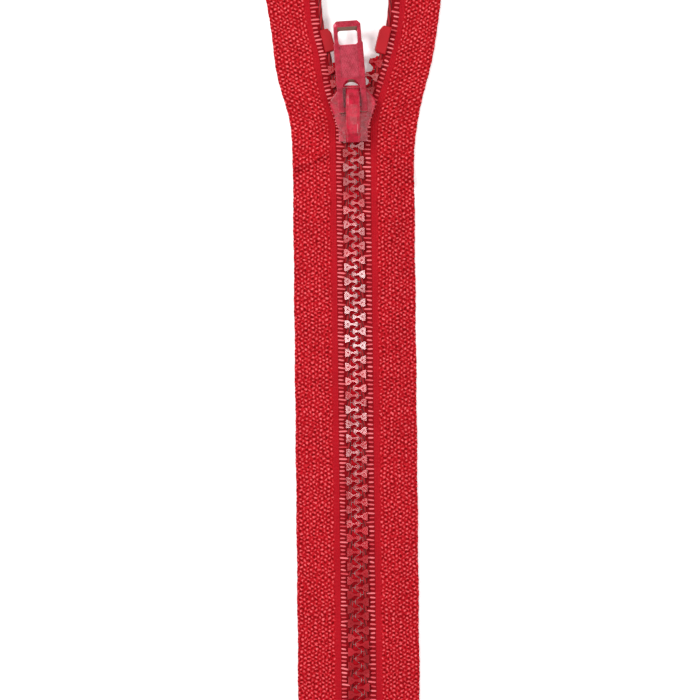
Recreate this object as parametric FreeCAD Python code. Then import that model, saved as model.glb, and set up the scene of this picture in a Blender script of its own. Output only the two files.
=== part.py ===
"""Open-end zipper with moulded plastic teeth, lying flat with its slider near the top.

Millimetres. +Y runs along the chain to the open (top) end, +X to the right and +Z up, out of
the face that carries the pull tab. The origin is on the ground under the middle of the chain.
A place along the chain is given as its distance down from the tapes' top ends.
"""
import FreeCAD, Part
import math
import os
from FreeCAD import Vector

# Overall sizes
tape_length = 250.0          # tapes, end to end
tape_half_width = 16.55      # closed zipper, chain centre to a tape's outer edge
tape_thickness = 0.6
tape_edge_height = 0.5       # ground to the middle of a tape's outer edge
flat_reach = 7.0             # how far from the centre the tape stays level with the chain
droop_margin = 1.05          # past a closed tape's outer edge, where the tape is at its lowest level

# Chain
pitch = 3.85                 # between teeth on one side
tooth_thickness = 2.6
tooth_base_length = 1.86
tooth_base_height = 2.4
tooth_neck_height = 0.6
tooth_head_height = 1.4
tooth_tip_reach = 0.69       # how far a head reaches past the chain's centre
tooth_head_length = 1.17
tooth_outer = 2.87           # chain centre to the teeth's outer faces
tooth_chamfer = 0.09
tooth_outer_corner = 0.3     # length of the taper at a base's outer end
tooth_outer_share = 0.86     # of the base's height, at that end
tooth_shoulder_length = 0.75
tooth_shoulder_share = 0.84  # of the base's height, where it starts towards the neck
tooth_neck_flare = 1.25      # of the neck's height, where it meets the base
tooth_neck_inset = 0.1
tooth_head_slope = 0.38      # head's tip to its widest place
tooth_tip_length = 0.1
tooth_tip_share = 0.93       # of the head's height, behind the tip
tooth_end_share = 0.6        # of the head's height, at the tip
tooth_wing_thickness = 0.6   # web about a tooth's middle plane that closes the gap to its neighbours
tooth_wing_gap = 0.12
tooth_wing_inset = 0.014     # web's inner corner below the head's widest place
dimple_radius = 0.26
dimple_depth = 0.12
dimple_floor_share = 0.4     # of the dimple's radius, at its bottom
dimple_offset = 0.05         # cord centre to the dimple, towards the head
mould_gap = 0.03             # between moulded pieces and the cord or tape inside them
cord_offset = 2.0            # chain centre to the middle of an edge cord
cord_radius = 0.6
first_left_tooth = 49.99     # topmost left tooth on the straight part, from the top
binding_start = 0.95         # cord centre to the inner edge of the binding stitches
binding_width = 1.6
binding_thickness = 0.12

# Top stops
stop_top_left = 20.3
stop_top_right = 19.6
stop_length_left = 6.2
stop_length_right = 7.6
stop_width = 2.9
stop_proud = 0.15            # above and below the teeth
stop_corner = 0.7
stop_round = 0.3
stop_chamfer = 0.25
stop_tooth_gap = 0.2
stop_gap = 0.15              # between a stop and the curved cord and tape inside it

# Slider
slider_rear = 50.7           # from the tapes' top ends, with the slider as stored
slider_length = 15.1
slider_half_width = 6.1
slider_rear_half_width = 3.88
slider_nose_half_width = 3.3
slider_shoulder = 5.5        # front end to the rear of the widest part
slider_shoulder_length = 1.7
slider_waist = 3.4           # rear end to where the sides start to widen
slider_plan_round = 0.8
slider_nose_corner = (1.2, 0.2)   # of the cut corner at the front end, across and along
slider_throat = 4.2          # rear end to the place where the channels part
plate_thickness = 1.2
plate_step = 0.4             # how much lower the rear of the top plate is
plate_step_place = 6.9       # rear end to the step
slot_height = 1.5            # gap between the flanges, where the tapes leave
tooth_clearance = 0.15       # above and below a tooth in the channel
lane_clearance = 0.13        # beside a tooth in the channel
lane_rim = 0.75              # flange width at the widest part
lane_shoulder = 4.8          # front end to where the channels have spread
lane_mouth = 0.9             # how much wider the channels are past the front end
wedge_tip = 7.9              # rear end to the tip of the dividing wedge
wedge_full = 2.7             # front end to where the wedge is full width
wedge_half_width = 1.3
wedge_tip_half_width = 0.15
wedge_nose = 1.0             # front end to where the wedge narrows again
wedge_nose_half_width = 0.6
plate_fillet = 0.45

# Crown, lock and pull tab
crown_half_width = 1.9
crown_rise = 4.1             # top plate to the top of the crown
crown_wall = 1.2
crown_overhang = 0.35        # past the slider's rear end
crown_front_inset = 0.7      # crown's front end to the slider's front end
crown_front_post = 2.2
crown_rear_post = 2.4
crown_fillet = 0.9
crown_rear_profile = [(0, 2.0), (2.2, 0.35), (4.6, 0)]      # from the rear end, down from the top
crown_front_profile = [(4.8, 0), (2.2, 0.75), (0.5, 2.2)]   # from the front end, down from the top
tunnel_rear_slant = (0.6, 0.4)    # of the tunnel's cut upper corners, along and down
tunnel_front_slant = (0.9, 1.0)
pivot_place = 8.4            # slider's rear end to the pull tab's pivot
pivot_rise = 1.3             # top plate to the middle of the pull tab's bar
bar_half_height = 0.65
bar_half_length = 0.8
bar_round = 0.35
tab_thickness = 1.5
tab_length = 24.1            # pivot to the far end
tab_head_half_width = 3.7
tab_half_width = 3.98
tab_step_place = 17.9        # pivot to the step in the tab's width
tab_step_length = 0.5
tab_corner_round = 0.45
tab_end_round = 0.9
tab_heel = 0.85              # how far the legs reach behind the pivot
leg_gap_half = 2.4
bar_overlap = 0.3            # of the bar into each leg
arch_length = 8.2            # pivot to the top of the arch between the legs
arch_bevel = 0.6             # how much nearer the arch's lower edge is
tab_hole_width = 5.1
tab_hole_length = 3.9
tab_hole_place = 17.65       # pivot to the near edge of the hole
tab_hole_round = 0.6
tab_bevel_depth = 0.9        # of the bevel round the hole's front edge
tab_bevel_side = 0.11
tab_bevel_end = 0.9
tab_bevel_start = 0.8        # hole's near edge to the bevel
panel_width = 4.9
panel_length = 8.7
panel_place = 8.7
panel_depth = 0.25
panel_round = 0.5
tab_fillet = 0.25
tab_lean = 3.5               # degrees, sideways in its loose pivot
tab_tilt = 3.0               # degrees, far end down
lock_thickness = 0.3
lock_half_width = 0.4
lock_claw_place = 3.6        # slider's rear end to the middle of the claw
lock_claw_thickness = 0.4
lock_claw_depth = 0.4        # how far the claw reaches below the teeth's top faces
lock_gap = 0.12              # bar to the lock lever above it
lock_front_gap = 1.0         # lever to the crown's front post
claw_hole_gap = 0.3
spring_thickness = 0.12
spring_slack = 0.02          # between the spring and what it bears on
spring_claw_gap = 0.3        # claw's middle to the spring's rear end
spring_front_place = 4.2     # slider's front end to the spring's front end

# Retainer box, pins and reinforced ends
box_length = 12.0
box_half_width = 4.3
box_round = 0.9
box_edge_round = 0.5
pin_inner = 0.6
pin_socket_depth = 7.3
pin_bottom_gap = 0.1
pin_stand = 1.5              # how far a pin's block stands out of the box
pin_neck_radius = 0.55
pin_chamfer = 0.5
pin_clearance = 0.1
part_line = 4.5              # box top to the line about which the tapes part
film_thickness = 0.2
film_start = 3.2             # chain centre to the film's inner edge
film_gap = 0.1               # film to box slot, above and below
box_slot_inset = 0.05

# Where the tapes part above the slider: how far a line has moved outward, distance from the top
cord_flare_left = [(0, 46.5), (0.85, 43.0), (2.2, 38.9), (3.2, 34.5), (4.5, 26.2), (5.8, 20.8), (6.8, 0)]
cord_flare_right = [(0, 46.5), (0.85, 43.0), (2.2, 38.9), (3.6, 34.5), (6.1, 26.2), (7.6, 20.0), (8.9, 0)]
outer_flare_left = [(0, 55.0), (0.85, 44.6), (2.95, 36.5), (4.35, 30.2), (5.65, 19.2), (8.85, 0)]
outer_flare_right = [(0, 55.0), (1.15, 45.1), (3.55, 34.8), (5.65, 26.2), (7.65, 12.4), (8.85, 0)]

top_y = tape_length / 2
chain_height = tooth_thickness / 2 + tooth_clearance + plate_thickness   # ground to the middle plane
box_top = tape_length - box_length
part_place = box_top - part_line
tip_to_cord = cord_offset + tooth_tip_reach
cavity_half_height = tooth_thickness / 2 + tooth_clearance
slider_bottom = chain_height - cavity_half_height - plate_thickness
plate_top = chain_height + cavity_half_height + plate_thickness
pivot_height = plate_top + pivot_rise
crown_height = plate_top + crown_rise
box_height = 2 * chain_height
stop_thickness = tooth_thickness + 2 * stop_proud
droop_reach = tape_half_width + droop_margin
outer_reach = tape_half_width + max(x for x, _ in outer_flare_left + outer_flare_right) + 1
droop = chain_height - tape_edge_height
droop_run = droop_reach - flat_reach
droop_radius = (droop_run ** 2 + droop ** 2) / (4 * droop)   # of the two equal arcs of the droop
droop_angle = math.asin(droop_run / (2 * droop_radius))


def y_at(place):
    """Y of a place given by its distance from the tapes' top ends."""
    return top_y - place


def level(reach):
    """Height of the tape's middle surface at a distance from the centre."""
    if reach <= flat_reach:
        return chain_height
    if reach >= droop_reach:
        return tape_edge_height
    if reach < (flat_reach + droop_reach) / 2:
        return chain_height - droop_radius + math.sqrt(droop_radius ** 2 - (reach - flat_reach) ** 2)
    return tape_edge_height + droop_radius - math.sqrt(droop_radius ** 2 - (droop_reach - reach) ** 2)


def prism(points, low, high):
    """Upright prism over a polygon of (x, y) points."""
    corners = [Vector(x, y, low) for x, y in points]
    face = Part.Face(Part.makePolygon(corners + corners[:1]))
    return face.extrude(Vector(0, 0, high - low))


def block(x_low, x_high, y_low, y_high, z_low, z_high):
    """Rectangular block between two corners."""
    corner = Vector(x_low, y_low, z_low)
    return Part.makeBox(x_high - x_low, y_high - y_low, z_high - z_low, corner)


def smooth(points, start_up=False):
    """Curve through points in the ground plane, leaving straight along Y if asked."""
    curve = Part.BSplineCurve()
    path = [Vector(*p, 0) if len(p) == 2 else Vector(*p) for p in points]
    if start_up:
        curve.interpolate(Points=path, InitialTangent=Vector(0, 1, 0), FinalTangent=path[-1] - path[-2])
    else:
        curve.interpolate(Points=path)
    return curve


def upright_edges(solid):
    """Edges of a solid that run along Z."""
    found = []
    for edge in solid.Edges:
        box = edge.BoundBox
        if box.XLength < 1e-6 and box.YLength < 1e-6 and box.ZLength > 1e-6:
            found.append(edge)
    return found


def edges_at(solid, height):
    """Edges of a solid that lie in a horizontal plane."""
    found = []
    for edge in solid.Edges:
        box = edge.BoundBox
        if box.ZLength < 1e-4 and abs(box.ZMin - height) < 1e-3:
            found.append(edge)
    return found


def flare_curve(closed, flare):
    """Line that is at a closed distance from the centre and then moves outward, seen from above."""
    return smooth([(closed + moved, y_at(place)) for moved, place in flare], start_up=True)


def beside(curve, distance, steps=24):
    """Points beside a curve, at a distance to its right as it climbs."""
    first, last = curve.FirstParameter, curve.LastParameter
    points = []
    for i in range(steps + 1):
        at = first + (last - first) * i / steps
        place, way = curve.value(at), curve.tangent(at)[0]
        points.append((place.x + way.y * distance, place.y - way.x * distance))
    return points


def band_line(rise, inner, y):
    """Edges of a level line that droops in two equal arcs, at an offset from the middle surface."""
    over, under = droop_radius + rise, droop_radius - rise
    over_z, under_z = chain_height - droop_radius, tape_edge_height + droop_radius

    def on_first(angle):
        return Vector(flat_reach + over * math.sin(angle), y, over_z + over * math.cos(angle))

    def on_second(angle):
        return Vector(droop_reach - under * math.sin(angle), y, under_z - under * math.cos(angle))

    crest, middle, foot = on_first(0), on_first(droop_angle), on_second(0)
    edges = [Part.makeLine(Vector(inner, y, chain_height + rise), crest)]
    edges.append(Part.Arc(crest, on_first(droop_angle / 2), middle).toShape())
    edges.append(Part.Arc(middle, on_second(droop_angle / 2), foot).toShape())
    end = Vector(outer_reach, y, tape_edge_height + rise)
    edges.append(Part.makeLine(foot, end))
    return edges, end


def band(low, high, inner, y_low, y_high):
    """Level-then-drooping sheet between two offsets from the tape's middle surface."""
    bottom, bottom_end = band_line(low, inner, y_low)
    top, top_end = band_line(high, inner, y_low)
    inner_low, inner_high = (Vector(inner, y_low, chain_height + rise) for rise in (low, high))
    ends = [Part.makeLine(bottom_end, top_end), Part.makeLine(inner_low, inner_high)]
    face = Part.Face(Part.Wire(Part.__sortEdges__(bottom + top + ends)))
    return face.extrude(Vector(0, y_high - y_low, 0))


def plan(y_low, inner_points, outer_points):
    """Tall prism between two lines that climb straight from y_low and then follow points."""
    inner_foot, outer_foot = (inner_points[0][0], y_low), (outer_points[0][0], y_low)
    outline = [inner_foot] + inner_points + outer_points[::-1] + [outer_foot]
    return prism(outline, -1, box_height + 1)


def strip(curve, inner, outer, low, high):
    """Sheet beside an edge cord between two distances from the cord."""
    y_low = y_at(part_place)
    sheet = band(low, high, cord_offset, y_low - 1, top_y + 1)
    return sheet.common(plan(y_low, beside(curve, inner), beside(curve, outer)))


def tape(curve, outer_flare):
    """One tape above the part line, from its cord to its outer edge."""
    y_low = y_at(part_place)
    half = tape_thickness / 2
    sheet = band(-half, half, cord_offset, y_low - 1, top_y + 1)
    outer = flare_curve(tape_half_width, outer_flare)
    return sheet.common(plan(y_low, beside(curve, cord_radius + mould_gap), beside(outer, 0)))


def cord(curve):
    """Round cord along a tape's inner edge, from the part line to the top."""
    y_low = y_at(part_place)
    steps = 12
    first, last = curve.FirstParameter, curve.LastParameter
    points = []
    for i in range(steps + 1):
        place = curve.value(first + (last - first) * i / steps)
        points.append(Vector(place.x, place.y, level(place.x)))
    flare = Part.BSplineCurve()
    flare.interpolate(Points=points, InitialTangent=Vector(0, 1, 0), FinalTangent=points[-1] - points[-2])
    start = Vector(cord_offset, y_low, chain_height)
    path = Part.Wire([Part.makeLine(start, points[0]), flare.toShape()])
    ring = Part.Wire(Part.makeCircle(cord_radius, start, Vector(0, 1, 0)))
    return path.makePipeShell([ring], True, False)


def tooth_wing():
    """Web at a tooth's middle plane, filling the room that the meshing teeth leave, less a gap."""
    head = tooth_head_height / 2
    shoulder = tooth_tip_reach - tooth_head_slope
    tip = tooth_tip_reach + tooth_wing_gap
    reach = pitch / 2 - tooth_wing_gap
    side = [(-shoulder, head - tooth_wing_inset), (shoulder, reach - head)]
    side += [(tooth_tip_reach - tooth_tip_length, reach - head * tooth_tip_share)]
    side += [(tip, pitch / 2 - head * tooth_end_share), (tip, reach + tooth_wing_gap / 2)]
    side += [(cord_offset - cord_radius / 2, reach + tooth_wing_gap / 2)]
    outline = [(u - cord_offset, y) for u, y in side]
    outline += [(x, -y) for x, y in reversed(outline)]
    return prism(outline, -tooth_wing_thickness / 2, tooth_wing_thickness / 2)


def tooth():
    """One tooth about its cord's centre, its head towards -X, with the cord's channel cut out."""
    outer_x = tooth_outer - cord_offset
    inner_x = outer_x - tooth_base_length
    head_x = -tip_to_cord + tooth_head_length
    half = tooth_base_height / 2
    neck, head = tooth_neck_height / 2, tooth_head_height / 2
    side = [(outer_x, half * tooth_outer_share), (outer_x - tooth_outer_corner, half)]
    side += [(inner_x + tooth_shoulder_length, half * tooth_shoulder_share)]
    side += [(inner_x + tooth_neck_inset, neck * tooth_neck_flare), (head_x, neck)]
    side += [(-tip_to_cord + tooth_head_slope, head)]
    side += [(-tip_to_cord + tooth_tip_length, head * tooth_tip_share)]
    side += [(-tip_to_cord, head * tooth_end_share)]
    outline = side + [(x, -y) for x, y in reversed(side)]
    body = prism(outline, -tooth_thickness / 2, tooth_thickness / 2)
    rims = edges_at(body, tooth_thickness / 2) + edges_at(body, -tooth_thickness / 2)
    body = body.makeChamfer(tooth_chamfer, rims)
    for face in (1, -1):
        top = face * tooth_thickness / 2
        mouth = Vector(-dimple_offset, 0, top)
        floor = dimple_radius * dimple_floor_share
        dimple = Part.makeCone(dimple_radius, floor, dimple_depth, mouth, Vector(0, 0, -face))
        body = body.cut(dimple)
    body = body.fuse(tooth_wing()).removeSplitter()
    foot = Vector(0, -tooth_base_height, 0)
    channel = Part.makeCylinder(cord_radius + mould_gap, 2 * tooth_base_height, foot, Vector(0, 1, 0))
    web_half = tape_thickness / 2 + mould_gap
    slot = block(cord_radius / 2, 2 * outer_x, -tooth_base_height, tooth_base_height, -web_half, web_half)
    return body.cut(channel.fuse(slot))


def posed(shape, curve, distance):
    """Shape moved to a distance along the flare, turned with the cord and laid on the droop."""
    at = curve.parameterAtDistance(distance, curve.FirstParameter)
    place, way = curve.value(at), curve.tangent(at)[0]
    heading = math.degrees(math.atan2(-way.x, way.y))
    small = 0.2
    slope = math.degrees(math.atan2(level(place.x + small) - level(place.x - small), 2 * small))
    piece = shape.copy()
    piece.rotate(Vector(0, 0, 0), Vector(0, 1, 0), -slope)
    piece.rotate(Vector(0, 0, 0), Vector(0, 0, 1), heading)
    piece.translate(Vector(place.x, place.y, level(place.x)))
    return piece


def teeth_row(curve, first_place, stop_bottom):
    """Row of separate teeth, from below the top stop to the part line."""
    pattern = tooth()
    row = []
    place = first_place
    while place < part_place - tooth_base_height / 2:
        piece = pattern.copy()
        piece.translate(Vector(cord_offset, y_at(place), chain_height))
        row.append(piece)
        place += pitch
    throat = y_at(first_place)
    distance = pitch - (curve.value(curve.FirstParameter).y - throat)
    while True:
        piece = posed(pattern, curve, distance)
        if piece.BoundBox.YMax > y_at(stop_bottom):
            return Part.makeCompound(row)
        row.append(piece)
        distance += pitch


def top_stop(curve, place, length):
    """Moulded block round the cord that stops the slider."""
    middle = y_at(place + length / 2)
    low, high = 0.0, curve.length()
    for _ in range(40):
        distance = (low + high) / 2
        at = curve.parameterAtDistance(distance, curve.FirstParameter)
        if curve.value(at).y < middle:
            low = distance
        else:
            high = distance
    half = length / 2
    outer_x = tooth_outer - cord_offset
    inner_x = outer_x - stop_width
    outline = [(outer_x, -half), (outer_x, half), (inner_x + stop_corner, half)]
    outline += [(inner_x, half - 2 * stop_corner), (inner_x, -half + stop_corner)]
    outline += [(inner_x + stop_corner, -half)]
    body = prism(outline, -stop_thickness / 2, stop_thickness / 2)
    body = body.makeFillet(stop_round, upright_edges(body))
    rims = edges_at(body, stop_thickness / 2) + edges_at(body, -stop_thickness / 2)
    body = body.makeChamfer(stop_chamfer, rims)
    channel = Part.makeCylinder(cord_radius + stop_gap, 2 * length, Vector(0, -length, 0), Vector(0, 1, 0))
    web_half = tape_thickness / 2 + stop_gap
    slot = block(cord_radius / 2, 2 * stop_width, -length, length, -web_half, web_half)
    return posed(body.cut(channel.fuse(slot)), curve, distance)


def slider_y(distance):
    """Y of a place given by its distance ahead of the slider's rear end."""
    return y_at(slider_rear) + distance


def mirrored(points):
    """Closed outline from its right half, listed from the rear forward."""
    return points + [(-x, y) for x, y in reversed(points)]


def slider_plan():
    """Outline of the slider's plates, seen from above."""
    waist, nose = slider_y(slider_waist), slider_y(slider_length)
    corner_across, corner_along = slider_nose_corner
    half = [(slider_rear_half_width, slider_y(0)), (slider_rear_half_width, waist)]
    half += [(slider_half_width, nose - slider_shoulder)]
    half += [(slider_half_width, nose - slider_shoulder + slider_shoulder_length)]
    half += [(slider_nose_half_width, nose - corner_along)]
    half += [(slider_nose_half_width - corner_across, nose)]
    return mirrored(half)


def lane_plan():
    """Outline of the slider's Y-shaped channel."""
    rear = tooth_outer + lane_clearance
    front = slider_half_width - lane_rim
    nose = slider_y(slider_length)
    half = [(rear, slider_y(-1)), (rear, slider_y(slider_throat)), (front, nose - lane_shoulder)]
    half += [(front + lane_mouth, nose + 1)]
    return mirrored(half)


def slider_body():
    """Two plates joined by a wedge, with flanges that guide the teeth."""
    plan = prism(slider_plan(), slider_bottom, plate_top)
    corners = [e for e in upright_edges(plan) if e.BoundBox.YMin > slider_y(0) + 0.1]
    plan = plan.makeFillet(slider_plan_round, corners)
    rims = [e for z in (slider_bottom, plate_top) for e in edges_at(plan, z)]
    plan = plan.makeFillet(plate_fillet, rims)
    low, high = chain_height - cavity_half_height, chain_height + cavity_half_height
    channel = prism(lane_plan(), low, high)
    nose = slider_y(slider_length)
    wedge_half = [(wedge_tip_half_width, slider_y(wedge_tip)), (wedge_half_width, nose - wedge_full)]
    wedge_half += [(wedge_half_width, nose - wedge_nose), (wedge_nose_half_width, nose + 1)]
    wedge = prism(mirrored(wedge_half), low, high)
    body = plan.cut(channel.cut(wedge))
    far = 2 * slider_half_width
    slot_half = slot_height / 2
    slot = block(-far, far, slider_y(-1), nose + 1, chain_height - slot_half, chain_height + slot_half)
    body = body.cut(slot.cut(wedge))
    step = block(-far, far, slider_y(-1), slider_y(plate_step_place), plate_top - plate_step, plate_top + 1)
    body = body.cut(step)
    claw_half = lock_claw_thickness / 2 + claw_hole_gap
    claw_side = lock_half_width + claw_hole_gap / 2
    claw_y = slider_y(lock_claw_place)
    hole = block(-claw_side, claw_side, claw_y - claw_half, claw_y + claw_half, high - 1, plate_top + 1)
    return body.cut(hole)


def slider_crown():
    """Arched cover over the lock, through which the pull tab's bar passes."""
    rear, front = -crown_overhang, slider_length - crown_front_inset
    seat_rear, seat_front = plate_top - plate_step, plate_top
    arch_z = crown_height - crown_wall
    outline = [(rear, seat_rear)]
    outline += [(rear + along, crown_height - down) for along, down in crown_rear_profile]
    outline += [(front - along, crown_height - down) for along, down in crown_front_profile]
    outline += [(front, seat_front)]
    outline += [(plate_step_place, seat_front), (plate_step_place, seat_rear)]
    corners = [Vector(-crown_half_width, slider_y(y), z) for y, z in outline]
    face = Part.Face(Part.makePolygon(corners + corners[:1]))
    bar = face.extrude(Vector(2 * crown_half_width, 0, 0))
    long_edges = []
    for edge in bar.Edges:
        box = edge.BoundBox
        if box.XLength < 1e-6 and box.ZMin > crown_height - crown_front_profile[-1][1] - 0.1:
            long_edges.append(edge)
    bar = bar.makeFillet(crown_fillet, long_edges)
    rear_wall, front_wall = rear + crown_rear_post, front - crown_front_post
    inside = [(rear_wall, seat_rear - 1), (rear_wall, arch_z - tunnel_rear_slant[1])]
    inside += [(rear_wall + tunnel_rear_slant[0], arch_z), (front_wall - tunnel_front_slant[0], arch_z)]
    inside += [(front_wall, arch_z - tunnel_front_slant[1]), (front_wall, seat_rear - 1)]
    corners = [Vector(-2 * crown_half_width, slider_y(y), z) for y, z in inside]
    face = Part.Face(Part.makePolygon(corners + corners[:1]))
    return bar.cut(face.extrude(Vector(4 * crown_half_width, 0, 0)))


def lock_lever():
    """Stamped lever over the pull tab's bar, whose claw drops between the teeth."""
    low = pivot_height + bar_half_height + lock_gap
    high = low + lock_thickness
    claw_half = lock_claw_thickness / 2
    tip = chain_height + tooth_thickness / 2 - lock_claw_depth
    front = slider_y(slider_length - crown_front_inset - crown_front_post - lock_front_gap)
    claw_y, side = slider_y(lock_claw_place), lock_half_width
    lever = block(-side, side, claw_y - claw_half, front, low, high)
    claw = block(-side, side, claw_y - claw_half, claw_y + claw_half, tip, high)
    return lever.fuse(claw).removeSplitter()


def lock_spring():
    """Thin bowed strip between the lock lever and the crown."""
    low = pivot_height + bar_half_height + lock_gap + lock_thickness
    high = crown_height - crown_wall
    rear = slider_y(lock_claw_place + spring_claw_gap)
    front = slider_y(slider_length - spring_front_place)
    middle = (rear + front) / 2
    ends = [Vector(-lock_half_width, y, low + spring_slack) for y in (rear, front)]
    crest = Vector(-lock_half_width, middle, high - spring_thickness - spring_slack)
    arc = Part.Arc(ends[0], crest, ends[1]).toShape()
    lift = Vector(0, 0, spring_thickness)
    upper = Part.Arc(ends[0] + lift, crest + lift, ends[1] + lift).toShape()
    sides = [Part.makeLine(ends[0], ends[0] + lift), Part.makeLine(ends[1], ends[1] + lift)]
    face = Part.Face(Part.Wire(Part.__sortEdges__([arc, upper] + sides)))
    return face.extrude(Vector(2 * lock_half_width, 0, 0))


def pull_tab():
    """Flat tab with a window, a sunk panel and two legs joined by the pivot bar."""
    half = tab_thickness / 2
    outline = [(tab_half_width, -tab_heel), (tab_half_width, tab_step_place)]
    outline += [(tab_head_half_width, tab_step_place + tab_step_length)]
    outline += [(tab_head_half_width, tab_length - tab_end_round)]
    outline += [(tab_head_half_width - tab_end_round, tab_length)]
    body = prism(mirrored(outline), -half, half)
    body = body.makeFillet(tab_corner_round, upright_edges(body))
    rims = edges_at(body, half) + edges_at(body, -half)
    body = body.makeFillet(tab_fillet, rims)
    spring = arch_length - leg_gap_half - 1.5 * arch_bevel
    slant = Vector(0, 2 * arch_bevel, 2 * tab_thickness)
    corners = [Vector(-leg_gap_half, y, -tab_thickness) for y in (-4 * tab_heel, spring)]
    corners += [Vector(leg_gap_half, y, -tab_thickness) for y in (spring, -4 * tab_heel)]
    arch = Part.Face(Part.makePolygon(corners + corners[:1])).extrude(slant)
    ring = Part.Wire(Part.makeCircle(leg_gap_half, Vector(0, spring, -tab_thickness)))
    body = body.cut(arch.fuse(Part.Face(ring).extrude(slant)))
    near, far, side = tab_hole_place, tab_hole_place + tab_hole_length, tab_hole_width / 2
    window = block(-side, side, near, far, -tab_thickness, tab_thickness)
    window = window.makeFillet(tab_hole_round, upright_edges(window))
    body = body.cut(window)
    wires = []
    for wider, longer, z in ((0, 0, half - tab_bevel_depth), (tab_bevel_side, tab_bevel_end, half + 0.01)):
        start = near + tab_bevel_start
        corners = [Vector(-side - wider, start, z), Vector(side + wider, start, z)]
        corners += [Vector(side + wider, far + longer, z), Vector(-side - wider, far + longer, z)]
        wires.append(Part.makePolygon(corners + corners[:1]))
    body = body.cut(Part.makeLoft(wires, True, True))
    side, far = panel_width / 2, panel_place + panel_length
    panel = block(-side, side, panel_place, far, half - panel_depth, half + 1)
    panel = panel.makeFillet(panel_round, upright_edges(panel))
    back = panel.mirror(Vector(0, 0, 0), Vector(0, 0, 1))
    body = body.cut(panel).cut(back)
    side = leg_gap_half + bar_overlap
    bar = block(-side, side, -bar_half_length, bar_half_length, -bar_half_height, bar_half_height)
    lengthwise = [e for e in bar.Edges if e.BoundBox.XLength > 1]
    bar = bar.makeFillet(bar_round, lengthwise)
    tab = body.fuse(bar).removeSplitter()
    tab.rotate(Vector(0, 0, 0), Vector(0, 0, 1), tab_lean)
    tab.rotate(Vector(0, 0, 0), Vector(1, 0, 0), -tab_tilt)
    tab.translate(Vector(0, slider_y(pivot_place), pivot_height))
    return tab


def pin():
    """Pin that stands in the retainer box, with a round neck up to the part line."""
    half = tooth_thickness / 2
    low, high = y_at(box_top + pin_socket_depth - pin_bottom_gap), y_at(box_top - pin_stand)
    outline = [(pin_inner + pin_chamfer, low), (tooth_outer, low), (tooth_outer, high)]
    outline += [(pin_inner + 2 * pin_chamfer, high), (pin_inner, high - 2 * pin_chamfer)]
    outline += [(pin_inner, low + pin_chamfer)]
    body = prism(outline, chain_height - half, chain_height + half)
    neck_length = y_at(part_place) - high + pin_chamfer
    foot = Vector(cord_offset, high - pin_chamfer, chain_height)
    neck = Part.makeCylinder(pin_neck_radius, neck_length, foot, Vector(0, 1, 0))
    return body.fuse(neck)


def left(shape):
    """Shape mirrored to the left side."""
    return shape.mirror(Vector(0, 0, 0), Vector(1, 0, 0))


def retainer_box():
    """Box at the bottom end with a socket for each pin and a slot for each tape."""
    low, high = y_at(tape_length), y_at(box_top)
    body = block(-box_half_width, box_half_width, low, high, 0, box_height)
    body = body.makeFillet(box_round, upright_edges(body))
    body = body.makeFillet(box_edge_round, edges_at(body, box_height) + edges_at(body, 0))
    half = tooth_thickness / 2 + pin_clearance
    web_half = tape_thickness / 2 + film_thickness + film_gap
    floor = high - pin_socket_depth
    inner, outer = pin_inner - pin_clearance, tooth_outer + pin_clearance
    socket = block(inner, outer, floor, high + 1, chain_height - half, chain_height + half)
    inner, outer = tooth_outer - box_slot_inset, box_half_width + 1
    slot = block(inner, outer, low - 1, high + 1, chain_height - web_half, chain_height + web_half)
    for opening in (socket, slot):
        body = body.cut(opening).cut(left(opening))
    return body


def end_sheet(low, high, inner):
    """Sheet over a tape's lower end, from the bottom to the part line."""
    y_low, y_high = y_at(tape_length), y_at(part_place)
    sheet = band(low, high, cord_offset, y_low - 1, y_high + 1)
    return sheet.common(block(inner, tape_half_width, y_low, y_high, -1, box_height + 1))


def save(name, shape):
    """Write one node and report its solids and volume."""
    shape.exportStep("parts/" + name + ".step")
    solids = shape.Solids
    print(f"{name:26} solids {len(solids):3} volume {shape.Volume:9.2f} valid {shape.isValid()}")


def build_side(name, place, cord_flare, outer_flare, first_place, stop_place, stop_length):
    """Tape, cord, binding, teeth and stop of one side; place puts them on that side."""
    curve = flare_curve(cord_offset, cord_flare)
    half = tape_thickness / 2
    save(name + "_tape", place(tape(curve, outer_flare)))
    save(name + "_edge_cord", place(cord(curve)))
    outer = binding_start + binding_width
    over = strip(curve, binding_start, outer, half, half + binding_thickness)
    under = strip(curve, binding_start, outer, -half - binding_thickness, -half)
    save(name + "_binding_stitches", place(Part.makeCompound([over, under])))
    save(name + "_teeth", place(teeth_row(curve, first_place, stop_place + stop_length + stop_tooth_gap)))
    save(name + "_top_stop", place(top_stop(curve, stop_place, stop_length)))
    save(name + "_tape_end", place(end_sheet(-half, half, tooth_outer)))
    save(name + "_front_film", place(end_sheet(half, half + film_thickness, film_start)))
    save(name + "_back_film", place(end_sheet(-half - film_thickness, -half, film_start)))


os.makedirs("parts", exist_ok=True)
build_side("left", left, cord_flare_left, outer_flare_left, first_left_tooth,
           stop_top_left, stop_length_left)
build_side("right", lambda shape: shape, cord_flare_right, outer_flare_right, first_left_tooth - pitch / 2,
           stop_top_right, stop_length_right)
save("slider_body", slider_body())
save("slider_crown", slider_crown())
save("lock_lever", lock_lever())
save("lock_spring", lock_spring())
save("pull_tab", pull_tab())
save("retaining_pin", left(pin()))
save("insertion_pin", pin())
save("retainer_box", retainer_box())
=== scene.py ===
import math
import random

import bpy
import numpy as np
from mathutils import Matrix, Vector


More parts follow.
